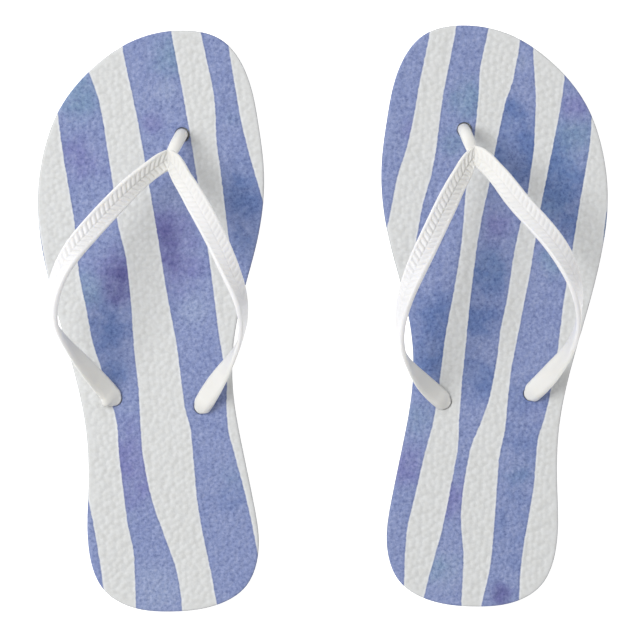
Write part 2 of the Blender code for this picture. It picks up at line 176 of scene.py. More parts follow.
# ---- The print: each stripe's two edges, as y: x from the heel to the toe ----
STRIPES = {"left": [
    ({0: -90, 260: -90},
     {0: -29.5, 10: -31, 24: -33, 37: -35.2, 47: -37.2, 60: -41, 260: -75}),
    ({0: -16.8, 26: -17.7, 39: -20.7, 68: -24.2, 83: -25.1, 91: -27.5, 109: -33, 118: -36,
      132: -38.6, 148: -42, 171: -43.9, 201: -49, 216: -51, 240: -54},
     {0: 3.3, 7: 2.9, 19: 0.7, 30: -3.2, 44: -8.5, 55: -11.5, 70: -14.2, 99: -15.9, 114: -17.7,
      134: -19, 155: -21.2, 170: -25.1, 185: -26.8, 214: -31.2, 225: -33.4, 240: -39}),
    ({0: 19, 16: 16.2, 33: 12.5, 48: 9.9, 81: 7, 88: 4.6, 101: 2.9, 118: 0.7, 138: -3.2, 173: -8.9,
      206: -14.6, 218: -16.8, 246: -22.9},
     {0: 44, 22: 37, 41: 33.3, 55: 30, 79: 23.4, 90: 22.6, 101: 23, 110: 21.2, 120: 19.5, 151: 15.6,
      189: 9.9, 203: 7.7, 228: 3.3, 253: -1.5}),
    ({0: 80, 60: 50, 100: 33, 130: 28.8, 165: 23.4, 194: 19.9, 206: 18.2, 220: 17.8, 228: 16.9,
      254: 11.2},
     {100: 60, 165: 43, 179: 38.7, 200: 32.6, 214: 29.1, 230: 26.3, 254: 22.5}),
], "right": [
    ({100: 60, 150: 41, 169: 35.7, 187: 32.4, 201: 27.8, 215: 24.7, 228: 22.6, 251: 17.8},
     {100: 90, 260: 90}),
    ({0: 29.4, 12: 29.1, 26: 28.7, 35: 27.8, 49: 24.3, 66: 20.4, 82: 16, 97: 13.8, 118: 11.2,
      141: 6.8, 157: 4.2, 171: 2.9, 180: 2.4, 209: -2.1, 224: -3.5, 235: -3.9, 244: -5.9,
      256: -8.5},
     {0: 60, 100: 33, 130: 28, 145: 25.6, 160: 23.9, 177: 20.8, 188: 17.3, 200: 15.1, 224: 12.1,
      241: 8.6, 256: 5.8}),
    ({0: 4.2, 14: 3.5, 22: 3.1, 37: 4.4, 47: 4, 58: 2.4, 71: -0.2, 80: -4.3, 92: -8.5, 108: -11.5,
      122: -13.1, 134: -15.9, 155: -19, 167: -21.6, 179: -24.7, 200: -27.7, 222: -28.6, 242: -27.3},
     {0: 21.5, 12: 18.6, 33: 12.7, 46: 9.9, 70: 5.5, 82: 5.1, 97: 4, 116: 2, 134: 0.3, 157: -2.6,
      170: -4.8, 184: -8, 202: -11.1, 222: -15.5, 228: -18.1, 246: -21.6}),
    ({0: -21, 16: -21.6, 28: -23.2, 53: -27.7, 73: -29, 81: -31.9, 91: -34.3, 113: -38.2,
      134: -40.7, 155: -44.3, 177: -47.8, 202: -52.2, 230: -54},
     {0: -4.4, 11: -7.2, 20: -8.9, 35: -10.2, 66: -12.4, 77: -15, 88: -15.9, 104: -17.7, 119: -20.7,
      146: -26, 173: -30.3, 195: -34.7, 218: -39.3, 231: -41.1}),
    ({0: -90, 260: -90},
     {0: -80, 140: -58.5, 158: -57.9, 168: -58.7, 180: -60.8, 260: -80}),
]}
EDGE_ROUNDING, EDGE_SAMPLES = 3.0, 5  # how far along a stripe it is smoothed
PRINT_SHIFTS = {"left": 0.31, "right": 0.77}  # metres, of the print's noise
CLOUD_SIZE, FLECK_SIZE, MOTTLE_SIZE = 9.0, 1.3, 2.2
WOBBLE_SIZE, WOBBLE = 2.2, 0.7  # of the stripes' edges
INK_BLUR = 0.14  # half the width over which a stripe's edge fades
LINE_DEPTH, LINE_REACH = 0.45, 0.55  # the dark line just inside a stripe's edge
RESIST_DEPTH = -0.5  # the pale line just outside it
TOP_EDGE = (0.85, 1.0)  # how far down the sheet's side the print ends
SHADED_EDGE = (0.06, 0.5)  # and how far down its side darkens
# Where the paint ran together, and navy spots of painted shadow beside the strap: x, y, reach and
# strength of each spot
WASHES = {"left": {
    "teal": [(-43, 226, 13, 1), (-38, 141, 9, 1), (-2, 243, 9, 1), (25, 215, 6, 0.4),
        (26, 60, 10, 0.5)],
    "violet": [(-41, 198, 12, 0.85), (-24, 148, 13, 0.9), (-2, 168, 12, 1), (0, 151, 13, 1),
        (-17, 64, 20, 1), (-10, 214, 6, 1)],
    "plum": [(-23, 146, 8, 0.9), (-24, 138, 6, 0.8), (-3, 164, 7, 1), (-1, 153, 6, 0.8)],
    # The next spots are partly darker washes of the print, partly painted shadow beside the strap's
    # arms and ends
    "navy_and_painted_shadow": [(-30, 123, 14, 0.85), (-26, 105, 8, 1), (31, 184, 16, 1), (30, 160, 8, 0.8),
        (28, 48, 12, 0.45)],
    "pale": [(-8, 9, 14, 1), (9, 132, 8, 1), (-4, 228, 6, 1)],
}, "right": {
    "teal": [(22, 82, 9, 0.8), (-8, 147, 8, 1), (-46, 205, 11, 1), (-36, 177, 9, 1),
        (13, 16, 9, 0.7), (1, 222, 10, 1), (8, 202, 7, 0.8), (-38, 190, 10, 1), (-59, 165, 8, 1),
        (-36, 150, 7, 1), (-21, 58, 10, 0.5)],
    "violet": [(29, 62, 10, 1), (7, 47, 10, 1), (-46, 219, 8, 1), (26, 208, 6, 0.7),
        (-11, 167, 9, 0.8), (-28, 84, 7, 0.5)],
    "plum": [(-13, 5, 6, 1)],
    # The next spots are partly darker washes of the print, partly painted shadow beside the strap's
    # arms and ends
    "navy_and_painted_shadow": [(-19, 200, 16, 1), (-19, 198, 9, 1), (-17, 216, 8, 1), (16, 107, 13, 1),
        (16, 108, 8, 1), (17, 128, 11, 1), (-5, 100, 9, 1), (-7, 146, 11, 1), (-4, 125, 11, 1),
        (-38, 186, 16, 1), (-44, 168, 9, 1), (-26, 90, 16, 0.42), (-22, 66, 16, 0.42),
        (-18, 42, 16, 0.42), (-15, 22, 12, 0.35)],
    "pale": [(-22, 238, 4, 1), (13, 16, 12, 1)],
}}

# ---- Colours ----
PAPER, DULL_PAPER = (0.69, 0.70, 0.70), (0.65, 0.655, 0.645)
RESIST_PAPER = (0.78, 0.80, 0.84)  # just outside a stripe, where the paint drew back
BLUE, CLOUD_BLUE = (0.228, 0.280, 0.505), (0.31, 0.36, 0.56)
WASH_COLOURS = {"pale": (0.29, 0.35, 0.55), "teal": (0.18, 0.28, 0.45),
                # The navy colour also paints shadow beside the strap
                "violet": (0.19, 0.20, 0.45), "navy_and_painted_shadow": (0.10, 0.17, 0.395),
                "plum": (0.105, 0.105, 0.31)}
# These four multiply the colour under them
LIGHT_FLECK, DARK_FLECK = (1.32, 1.26, 1.14), (0.45, 0.50, 0.64)
# The second colour on the next line is painted warm shade for the strap's low parts
EDGE_SHADE, PAINTED_SHADE_WARMTH = (0.65, 0.66, 0.69), (1.0, 0.995, 0.945)
STRAP_WHITE, DULL_STRAP = (0.80, 0.795, 0.805), (0.77, 0.767, 0.775)
STRAP_DUST = (0.74, 0.735, 0.73)
PAINTED_SHADE_HEIGHTS = (0.056, 0.030)  # metres; painted warm shade: the strap is warmer low over the sole
FOAM_WHITE, DULL_FOAM = (0.70, 0.705, 0.695), (0.64, 0.645, 0.63)
FOAM_PORE = (0.60, 0.60, 0.585)
OUTSOLE_WHITE, DULL_OUTSOLE = (0.61, 0.615, 0.605), (0.55, 0.555, 0.54)
GROUND_DIRT, DIRT_HEIGHTS = (0.50, 0.495, 0.475), (0.0009, 0.0001)
BUTTON_WHITE, DULL_BUTTON = (0.77, 0.775, 0.77), (0.71, 0.715, 0.705)
BUTTON_SCUFF = (0.60, 0.595, 0.58)
FLOOR_WHITE, DULL_FLOOR = (0.95, 0.95, 0.95), (0.94, 0.94, 0.94)

# ---- Floor, light and camera ----
FLOOR_GLOW, WORLD_LIGHT = 0.55, 0.57
FLOOR_HALF, FLOOR_LEVEL, FLOOR_POINTS = 4.0, -0.0002, 49  # metres, points along a side
KEY_POWER, KEY_SIZE = 33.5, 1.5  # watts, metres
KEY_PLACE = (-1.35, 0.45, 2.0)
FILL_POWER, FILL_SIZE = 6.0, 2.5
FILL_PLACE = (-2.3, 0.6, 0.9)
VIEW_WIDTH = 281.6  # what the picture spans at the footbed
VIEW_CENTRE = (-0.3, -1.6)
VIEW_LEVEL, CAMERA_DISTANCE = 15.0, 4000.0
CAMERA_REACH, SENSOR = 100.0, 36.0  # metres, millimetres

CDT_INSIDE, CDT_CLOSE = 1, 1e-6  # triangles inside the loops only; tolerance
BATCH = 4000  # points handled at once


def smooth(t):
    """Ease from 0 to 1."""
    t = np.clip(t, 0.0, 1.0)
    return t * t * (3.0 - 2.0 * t)


def unit(vector):
    return np.array(vector) / np.linalg.norm(vector)


def place(points, side):
    """Points of one foot's frame, in millimetres, as the frame's points in metres."""
    points = np.array(points, dtype=float)
    low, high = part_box(f"{side}_toe_button")
    button = (low + high) / 2 / MM
    points[:, 0] = SIDES[side] * (points[:, 0] - TOE_HOLE[0]) + button.x
    points[:, 1] += button.y - TOE_HOLE[1]
    return points * MM


class Solid:
    """The vertices and faces of a piece, gathered part by part."""

    def __init__(self):
        self.vertices = np.zeros((0, 3))
        self.faces = []

    def add(self, points):
        """Their numbers in the piece."""
        first = len(self.vertices)
        self.vertices = np.vstack([self.vertices, points])
        return np.arange(first, first + len(points))

    def bridge(self, low, high):
        """Faces between two closed loops of the same count."""
        ahead_low, ahead_high = np.roll(low, -1), np.roll(high, -1)
        self.faces += np.column_stack([low, ahead_low, ahead_high, high]).tolist()

    def tube(self, rings):
        """Faces over a row of loops, and over its two ends."""
        loops = [self.add(ring) for ring in rings]
        for low, high in zip(loops, loops[1:]):
            self.bridge(low, high)
        self.faces += [loops[0][::-1].tolist(), loops[-1].tolist()]

    def fill(self, outer, holes, inner):
        """Triangles inside the outer loop and outside the holes, through the inner points."""
        used = np.concatenate([outer, *holes, inner]).astype(int)
        edges, start = [], 0
        owner = np.full(len(used), -1)
        for k, loop in enumerate([outer, *holes]):
            count = len(loop)
            edges += [(start + i, start + (i + 1) % count) for i in range(count)]
            if k:
                owner[start:start + count] = k
            start += count
        flat = [Vector(p) for p in self.vertices[used][:, :2]]
        _, _, triangles, origins, _, _ = delaunay_2d_cdt(flat, edges, [], CDT_INSIDE, CDT_CLOSE)
        source = np.array([o[0] for o in origins])
        triangles = source[np.array(triangles)]
        first = owner[triangles[:, 0]]
        in_hole = (owner[triangles] == first[:, None]).all(1) & (first > 0)
        self.faces += used[triangles[~in_hole]].tolist()

    def build(self, name, side, attributes=None):
        """The finished object, with its normals out, in the frame's metres."""
        mesh = bpy.data.meshes.new(name)
        mesh.from_pydata(place(self.vertices, side).tolist(), [], self.faces)
        for key, values in (attributes or {}).items():
            mesh.attributes.new(key, "FLOAT", "POINT").data.foreach_set("value", values)
        made = bpy.data.objects.new(name, mesh)
        bpy.context.scene.collection.objects.link(made)
        turn_out(made)
        mesh.shade_smooth()
        return made


def turn_out(made):
    """Point the object's normals outwards."""
    work = bmesh.new()
    work.from_mesh(made.data)
    bmesh.ops.recalc_face_normals(work, faces=work.faces)
    work.to_mesh(made.data)
    work.free()


# ---- The sole's outline and surfaces ----

def sole_height(y):
    """Height of the sole's top over the ground."""
    fall = smooth((y - SLOPE_START) / SLOPE_LENGTH)
    return HEEL_HEIGHT - (HEEL_HEIGHT - TOE_HEIGHT) * fall


def spline(points, per_span, closed=False):
    """A smooth curve through the points; an open one is straight at its ends."""
    points = np.array(points, dtype=float)
    count = len(points)
    step = np.linalg.norm((np.roll(points, -1, 0) - points)[:, :3], axis=1)
    system = np.eye(count)
    right = np.zeros_like(points)
    for i in range(count) if closed else range(1, count - 1):
        j = (i + 1) % count
        system[i, i - 1] = step[i - 1]
        system[i, i] = 2 * (step[i - 1] + step[i])
        system[i, j] = step[i]
        right[i] = 6 * ((points[j] - points[i]) / step[i]
                        - (points[i] - points[i - 1]) / step[i - 1])
    bend = np.linalg.solve(system, right)
    places = []
    for i in range(count if closed else count - 1):
        j = (i + 1) % count
        for k in range(per_span):
            b = k / per_span
            a = 1 - b
            places.append(a * points[i] + b * points[j]
                          + ((a**3 - a) * bend[i] + (b**3 - b) * bend[j]) * step[i]**2 / 6)
    if not closed:
        places.append(points[-1])
    return np.array(places)


def lengths(path):
    """How far along the path each of its points is."""
    return np.concatenate([[0.0], np.cumsum(np.linalg.norm(np.diff(path, axis=0), axis=1))])


def rim(spacing):
    """The outline as a closed loop of evenly spaced points."""
    curve = spline(OUTLINE, RIM_STEPS, closed=True)
    closed = np.vstack([curve, curve[:1]])
    length = lengths(closed)
    count = round(length[-1] / spacing)
    stops = np.linspace(0.0, length[-1], count, endpoint=False)
    return np.column_stack([np.interp(stops, length, closed[:, k]) for k in range(2)])


def inset(loop, distance):
    """The loop moved inwards."""
    along = np.roll(loop, -1, 0) - np.roll(loop, 1, 0)
    along /= np.linalg.norm(along, axis=1)[:, None]
    return loop + distance * np.column_stack([-along[:, 1], along[:, 0]])


def away_from(points, hole):
    return np.linalg.norm(points - hole, axis=1)


def circle(centre, radius, count=HOLE_POINTS):
    angle = np.linspace(0.0, 2 * math.pi, count, endpoint=False)
    return np.column_stack([centre[0] + radius * np.cos(angle), centre[1] + radius * np.sin(angle)])


def lattice(edge, hole_radius, spacing, holes=HOLES):
    """Evenly spread points inside the loop, clear of its edge and of the holes."""
    curve = inset(edge, EDGE_CLEARANCE * spacing)
    heel, toe = int(curve[:, 1].argmin()), int(curve[:, 1].argmax())
    curve = np.roll(curve, -heel, 0)
    toe = (toe - heel) % len(curve)
    inner, outer = curve[:toe + 1], np.vstack([curve[toe:], curve[:1]])[::-1]
    rows = []
    for k, y in enumerate(np.arange(curve[0, 1], curve[toe, 1], spacing * math.sqrt(0.75))):
        high, low = (np.interp(y, half[:, 1], half[:, 0]) for half in (inner, outer))
        x = (np.arange(math.ceil(low / spacing), high / spacing) + (k % 2) / 2) * spacing
        x = x[x < high]
        rows.append(np.column_stack([x, np.full(len(x), y)]))
    points = np.vstack(rows)
    for hole in holes:
        points = points[away_from(points, hole) > hole_radius + HOLE_CLEARANCE * spacing]
    return points


def edge_distance(points, loop):
    """How far each point is inside the loop."""
    nearest = np.full(len(points), np.inf)
    for start in range(0, len(points), BATCH):
        part = points[start:start + BATCH]
        gap = part[:, None] - loop[None]
        nearest[start:start + BATCH] = np.sqrt((gap**2).sum(2).min(1))
    return nearest


def grains(points, seed):
    """Height of the moulded grains, in staggered rows: 0 between them, 1 on top."""
    dice = np.random.default_rng(seed).random((GRAIN_BLOCK, GRAIN_BLOCK, 4))
    turn = np.array([[math.cos(GRAIN_LEAN), math.sin(GRAIN_LEAN)],
                     [-math.sin(GRAIN_LEAN), math.cos(GRAIN_LEAN)]])
    turned = points @ turn.T
    row = np.floor(turned[:, 1] / GRAIN_PITCH[1]).astype(int)
    height = np.zeros(len(points))
    for across in (-1, 0, 1):
        home_row = row + across
        shift = (home_row % 2) * 0.5
        column = np.floor(turned[:, 0] / GRAIN_PITCH[0] - shift).astype(int)
        for along in (-1, 0, 1):
            home = column + along
            roll = dice[home % GRAIN_BLOCK, home_row % GRAIN_BLOCK]
            slip = GRAIN_SLIP * (roll[:, :2] - 0.5)
            away_x = turned[:, 0] - (home + 0.5 + shift + slip[:, 0]) * GRAIN_PITCH[0]
            away_y = turned[:, 1] - (home_row + 0.5 + slip[:, 1]) * GRAIN_PITCH[1]
            lean = GRAIN_TURN * (roll[:, 2] - 0.5)
            size = GRAIN_SIZE + GRAIN_SIZE_SPREAD * roll[:, 3]
            long = (away_x * np.cos(lean) + away_y * np.sin(lean)) / (GRAIN_LENGTH * size)
            wide = (away_y * np.cos(lean) - away_x * np.sin(lean)) / (GRAIN_WIDTH * size)
            dome = np.clip(1.0 - long**2 - wide**2, 0.0, 1.0)**GRAIN_DOME
            tall = GRAIN_HEIGHT + GRAIN_HEIGHT_SPREAD * roll[:, 3]
            height = np.maximum(height, dome * tall)
    return height


def washes(points, side):
    """How strongly each wash of the watercolour lies over each point; the navy one is partly
    painted shadow.
    """
    strength = {}
    for kind, spots in WASHES[side].items():
        clear = np.ones(len(points))
        for x, y, reach, most in spots:
            away = (points[:, 0] - x)**2 + (points[:, 1] - y)**2
            clear *= 1.0 - most * np.exp(-away / reach**2)
        strength[kind] = 1.0 - clear
    return strength


def stripe_depth(points, side):
    """How far each point is inside a stripe of the print; negative is outside."""
    x, y = points.T
    slips = np.linspace(-EDGE_ROUNDING, EDGE_ROUNDING, EDGE_SAMPLES)

    def edge(knots):
        """Its x at each point, and the factor from there to a distance square to it."""
        ys, xs = np.array(list(knots.items()), dtype=float).T
        at = np.mean([np.interp(y + slip, ys, xs) for slip in slips], axis=0)
        ahead = np.mean([np.interp(y + slip + 1.0, ys, xs) for slip in slips], axis=0)
        return at, 1.0 / np.sqrt(1.0 + (ahead - at)**2)

    depth = np.full(len(points), -np.inf)
    for low_knots, high_knots in STRIPES[side]:
        low, low_lean = edge(low_knots)
        high, high_lean = edge(high_knots)
        depth = np.maximum(depth, np.minimum((x - low) * low_lean, (high - x) * high_lean))
    return depth


def tread(points):
    """Depth of the outsole's wavy grooves, 0 to 1."""
    x, y = points.T
    wave = y + TREAD_SWING * np.sin(2 * math.pi * x / TREAD_WAVE)
    off_middle = np.abs((wave / TREAD_PITCH) % 1.0 - 0.5) * 2
    return smooth((TREAD_GROOVE - off_middle) / TREAD_FLANK)


def slab(edge, wall, hole_radius, lip, top, bottom, top_points, bottom_points, holes=HOLES):
    """A closed layer of the sole.

    wall and lip are the rings of its outside and of its holes, from the top face to the bottom
    face, each as (distance in from the edge, function from y to height).
    """
    solid = Solid()

    def rings(loop_at, levels):
        loops = []
        for distance, height in levels:
            loop = loop_at(distance)
            loops.append(solid.add(np.column_stack([loop, height(loop[:, 1])])))
        for low, high in zip(loops, loops[1:]):
            solid.bridge(low, high)
        return loops[0], loops[-1]

    outside = rings(lambda distance: inset(edge, distance), wall)
    bores = [rings(lambda distance, at=at: circle(at, hole_radius - distance), lip)
             for at in holes]
    for level, points, height in ((0, top_points, top), (1, bottom_points, bottom)):
        inner = solid.add(np.column_stack([points, height(points)]))
        solid.fill(outside[level], [bore[level] for bore in bores], inner)
    return solid


# ---- Pieces of the sole ----

def raised(table, height):
    """The table's rings, each with its height function."""
    return [(inward, height(value)) for inward, value in table]


def finish_piece(made, side, node, paint):
    """Give the piece its material and body, and hide the frame's node that it replaces."""
    made.data.materials.append(paint)
    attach(made, f"{side}_flip_flop")
    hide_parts(f"{side}_{node}")


def build_footbed(side):
    edge = rim(FOOTBED_MESH)
    bore = STEM_RADIUS + GAP + PRINT_SLACK
    holes = ((TOE_HOLE[0] + SIDES[side] * PRINT_SLIP, TOE_HOLE[1]), OUTER_HOLE, INNER_HOLE)
    points = lattice(inset(edge, FOOTBED_WALL[0][0]), bore, FOOTBED_MESH, holes)
    calm = smooth((edge_distance(points, edge[::2]) - GRAIN_MARGIN) / GRAIN_FADE)
    relief = GRAIN_RISE * (grains(points, GRAIN_SEEDS[side]) - GRAIN_LEVEL) * calm

    def below(depth):
        return lambda y: sole_height(y) - depth

    solid = slab(
        edge, raised(FOOTBED_WALL, below), bore, raised(FOOTBED_LIP, below),
        lambda p: sole_height(p[:, 1]) + relief,
        lambda p: sole_height(p[:, 1]) - FOOTBED_THICKNESS,
        points, lattice(edge, bore, FLAT_MESH, holes), holes)
    drop = sole_height(solid.vertices[:, 1]) - solid.vertices[:, 2]
    flat = solid.vertices[:, :2]
    near_top = drop < FOOTBED_THICKNESS / 2
    for hole in (OUTER_HOLE, INNER_HOLE):
        pull = np.exp(-(away_from(flat, hole) / DIMPLE_REACH)**2)
        solid.vertices[:, 2] -= DIMPLE_DEPTH * pull * near_top
    fields = {"stripe": stripe_depth(flat, side), "drop": drop, **washes(flat, side)}
    made = solid.build(f"{side}_printed_footbed", side, fields)
    finish_piece(made, side, "footbed", PAINTS[f"{side}_print"])


def build_midsole(side):
    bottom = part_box(f"{side}_midsole")[0].z / MM
    edge = rim(MIDSOLE_RIM)
    bore = STEM_RADIUS + GAP

    def level(part):
        def height(y):
            top = sole_height(y) - FOOTBED_THICKNESS - GAP
            return bottom + (top - bottom) * part
        return height

    solid = slab(
        edge, raised(MIDSOLE_WALL, level), bore, raised([(0.0, 1.0), (0.0, 0.0)], level),
        lambda p: level(1.0)(p[:, 1]), lambda p: level(0.0)(p[:, 1]),
        lattice(edge, bore, MIDSOLE_TOP_MESH), lattice(edge, bore, MIDSOLE_BOTTOM_MESH))
    made = solid.build(f"{side}_foam_midsole", side)
    finish_piece(made, side, "midsole", PAINTS["foam"])


def build_outsole(side):
    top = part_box(f"{side}_outsole")[1].z / MM
    edge = rim(OUTSOLE_RIM)
    bore = BUTTON_RADIUS + GAP
    points = lattice(inset(edge, OUTSOLE_LOWER_WALL[-1][0]), bore, TREAD_MESH)
    inside = smooth((edge_distance(points, edge[::2]) - TREAD_BORDER) / TREAD_RAMP)
    for hole in HOLES:
        inside *= smooth((away_from(points, hole) - bore - TREAD_COLLAR) / TREAD_RAMP)
    relief = TREAD_DEPTH * tread(points) * inside

    def at(height):
        return lambda y: np.full(np.shape(y), height)

    wall = [(inward, top - depth) for inward, depth in UPPER_RIM] + OUTSOLE_LOWER_WALL
    solid = slab(
        edge, raised(wall, at), bore, raised([(0.0, top)] + OUTSOLE_LIP, at),
        lambda p: np.full(len(p), top), lambda p: relief,
        lattice(edge, bore, FLAT_MESH), points)
    made = solid.build(f"{side}_treaded_outsole", side)
    finish_piece(made, side, "outsole", PAINTS["outsole"])


def build_button(side, name, centre):
    """A turned disc: domed rim, a ring groove, and the recess that holds the stem's head."""
    low, high = (corner.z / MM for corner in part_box(f"{side}_{name}_button"))
    hole, recess = STEM_RADIUS + GAP, HEAD_RADIUS + GAP
    shelf = HEAD_TOP + GAP
    profile = [(hole, high - BUTTON_CHAMFER), (hole + BUTTON_CHAMFER, high)]
    profile += [(BUTTON_RADIUS - inward, high - depth) for inward, depth in UPPER_RIM]
    profile += [(BUTTON_RADIUS - inward, low + height)
                for inward, height in BUTTON_LOWER_RIM + BUTTON_GROOVE]
    profile += [(recess + outward, low + height) for outward, height in BUTTON_RECESS_LIP]
    profile += [(recess, shelf), (hole, shelf)]
    solid = Solid()
    loops = [solid.add(np.column_stack([circle(centre, radius, BUTTON_POINTS),
                                        np.full(BUTTON_POINTS, height)]))
             for radius, height in profile]
    for ahead, behind in zip(loops, loops[1:] + loops[:1]):
        solid.bridge(ahead, behind)
    made = solid.build(f"{side}_{name}_button_disc", side)
    made.data.set_sharp_from_angle(angle=SHARP_ANGLE)
    finish_piece(made, side, f"{name}_button", PAINTS["button"])


# ---- Strap ----

def band_section():
    """Once round the band, from the middle of its outer face."""
    field = [(u, FIELD_FLOOR) for u in np.linspace(0.0, FIELD_EDGE, FIELD_STEPS)]
    half = field + RIM_SECTION + [(u, -1.0) for u in INNER_FACE]
    mirrored = [(-u, v) for u, v in half[:0:-1]]
    return np.array(half + [(0.0, -1.0)] + mirrored)


def round_section():
    """An ellipse with a point for each point of the band's section, in the same order."""
    section = band_section()
    step = np.linalg.norm(np.roll(section, -1, 0) - section, axis=1)
    part = np.concatenate([[0.0], np.cumsum(step)[:-1]]) / step.sum()
    angle = math.pi / 2 - 2 * math.pi * part
    return np.column_stack([np.cos(angle), np.sin(angle)])


BAND = band_section()
ROUND = round_section()


def ring(centre, across, out, width, thickness, roundness, rise=0.0):
    """The strap's section at one place, from the band's shape (0) to an ellipse (1)."""
    shape = BAND.copy()
    shape[:, 1] += rise
    shape += (ROUND - shape) * roundness
    return (centre + np.outer(shape[:, 0] * width / 2, across)
            + np.outer(shape[:, 1] * thickness / 2, out))


def ribs(stop, share):
    """How much the herringbone lifts each point of the section, at one place on an arm."""
    off_middle = np.abs(BAND[:, 0])
    phase = (stop + RIB_LEAN * off_middle * BAND_WIDTH / 2) / RIB_PITCH
    crest = 1.0 - np.abs(2.0 * (phase % 1.0) - 1.0)**RIB_POWER
    parting = smooth(off_middle / RIB_PARTING + 0.1)
    fade = 1.0 - smooth((stop - RIB_FADE[0]) / (RIB_FADE[1] - RIB_FADE[0]))
    fade *= smooth(stop / RIB_START)
    pattern = crest * parting * fade + RIB_PLAIN * (1.0 - fade)
    level = FIELD_FLOOR + RIB_HEIGHT * (1.0 - share * (1.0 - pattern))
    in_field = (BAND[:, 1] > 0) & (off_middle < FIELD_HALF)
    return np.maximum(level - BAND[:, 1], 0.0) * in_field


def soften(values, stops, reach, samples=9):
    """The values averaged along the arm, so that no bend in them is sudden."""
    offsets = np.linspace(-reach, reach, samples)
    return np.mean([np.interp(stops + o, stops, values) for o in offsets], axis=0)


def stem_rings(centre, across, out, top):
    """Rings of a stem and its head, which ends in the recess of its button."""
    levels = [(top, STEM_RADIUS), (HEAD_TOP + HEAD_NECK, STEM_RADIUS)]
    levels += [(HEAD_TOP - depth, HEAD_RADIUS - inward) for depth, inward in HEAD_UPPER_RIM]
    levels += [(HEAD_BOTTOM + rise, HEAD_RADIUS - inward) for rise, inward in HEAD_LOWER_RIM]
    return [ring(np.array((*centre, z)), across, out, 2 * radius, 2 * radius, 1.0)
            for z, radius in levels]


def mitre_edge(edge, start, clear):
    """One edge of a band, led in a smooth curve from its end of the mitre."""
    heading = unit(edge[clear + 1] - edge[clear])
    bend = edge[clear] - heading * np.linalg.norm(edge[clear] - start) / 2
    t = (np.arange(clear) / clear)[:, None]
    curve = (1 - t)**2 * start + 2 * t * (1 - t) * bend + t**2 * edge[clear]
    return np.vstack([curve, edge[clear:]])


def arm_rings(seam, rows, hole, turn, detail):
    """Rings of one arm and its stem, from the mitre down.

    turn is +1 or -1, the side on which the inner edge of the band lies when looking along the arm.
    """
    share, bulge, tab = detail
    surface = float(sole_height(hole[1]))
    foot = (*hole, surface + GAP, rows[-1][3] + END_ROLL)
    path = spline([(*seam, SEAM_HEIGHT, 0.0), *rows, foot], ARM_STEPS)
    length = lengths(path[:, :3])
    total = length[-1]
    stops = np.linspace(0.0, total, round(total / RING_SPACING))
    to_end = total - stops
    widths = np.minimum(np.interp(to_end, *END_WIDTHS), np.interp(stops, *SEAM_WIDTHS))
    widths = soften(widths, stops, WIDTH_REACH)
    thicks = soften(np.interp(to_end, *THICKNESSES), stops, THICKNESS_REACH)
    rounds = soften(np.interp(to_end, *ELLIPSES), stops, ROUND_REACH)
    seam_half = unit((0.0, -1.0, SEAM_RISE)) * SEAM_WIDTH / 2
    seam_out = unit((0.0, SEAM_RISE, 1.0))
    spots = np.array([[np.interp(stop, length, path[:, i]) for i in range(4)] for stop in stops])
    halves, tangents = [], []
    for k, stop in enumerate(stops):
        behind, ahead = (np.array([np.interp(stop + reach, length, path[:, i]) for i in range(3)])
                         for reach in (-HEADING_REACH, HEADING_REACH))
        tangent = unit(ahead - behind)
        level = unit((-tangent[1] * turn, tangent[0] * turn, 0.0))
        plunge = smooth(1 - to_end[k] / END_PLUNGE)
        tangent = unit(tangent * (1 - plunge) + np.array((0.0, 0.0, -1.0)) * plunge)
        up = unit(np.cross(tangent, level) * turn)
        roll = math.radians(spots[k, 3])
        halves.append((level * math.cos(roll) + up * math.sin(roll)) * widths[k] / 2)
        tangents.append(tangent)
    clear = int(np.searchsorted(stops, SEAM_BLEND))
    halves = np.array(halves)
    front = mitre_edge(spots[:, :3] - halves, spots[0, :3] - seam_half, clear)
    back = mitre_edge(spots[:, :3] + halves, spots[0, :3] + seam_half, clear)
    part = np.clip(stops / stops[clear], 0.0, 1.0)
    bulges = bulge * BULGE_PEAK * part * (1 - part)**2
    tabs = tab * np.interp(to_end, *TABS)
    rings = []
    for k, stop in enumerate(stops):
        across = unit(back[k] - front[k])
        front[k] -= across * bulges[k]
        back[k] += across * tabs[k]
        out = unit(np.cross(tangents[k], across) * turn)
        settle = smooth(stop / SEAM_SETTLE)
        out = unit(seam_out * (1 - settle) + out * settle)
        width = np.linalg.norm(back[k] - front[k])
        middle = (front[k] + back[k]) / 2
        rings.append(ring(middle, across, out, width, thicks[k], rounds[k], ribs(stop, share)))
    return rings + stem_rings(hole, across, out, surface - ARM_STEM_DEPTH)


def post_rings(seam):
    """Rings of the toe post, from inside the mitre down through the sole."""
    surface = float(sole_height(TOE_HOLE[1]))
    foot = np.array((*TOE_HOLE, surface))
    top = np.array((*seam, SEAM_HEIGHT))
    lean = unit((seam[0] - TOE_HOLE[0], seam[1] - TOE_HOLE[1], 0.0))
    arrival = unit(lean + (0.0, 0.0, SEAM_RISE))
    pulled = foot + (0.0, 0.0, POST_PULLS[1])
    controls = [top, top - arrival * POST_PULLS[0], pulled, foot]
    rings = []
    for t in np.linspace(0.0, 1.0, POST_RINGS):
        weights = ((1 - t)**3, 3 * t * (1 - t)**2, 3 * t**2 * (1 - t), t**3)
        spot = sum(w * c for w, c in zip(weights, controls))
        slopes = (-(1 - t)**2, (1 - t)**2 - 2 * t * (1 - t), 2 * t * (1 - t) - t**2, t**2)
        tangent = unit(sum(s * c for s, c in zip(slopes, controls)))
        across = unit(np.cross(tangent, POST_FACING))
        out = np.cross(across, tangent)
        thickness = POST_TOP_THICKNESS
        thickness += (2 * STEM_RADIUS - POST_TOP_THICKNESS) * smooth(t / POST_ROUND)
        rings.append(ring(spot, across, out, 2 * STEM_RADIUS, thickness, 1.0))
    return rings + stem_rings(TOE_HOLE, across, out, surface - POST_STEM_DEPTH)


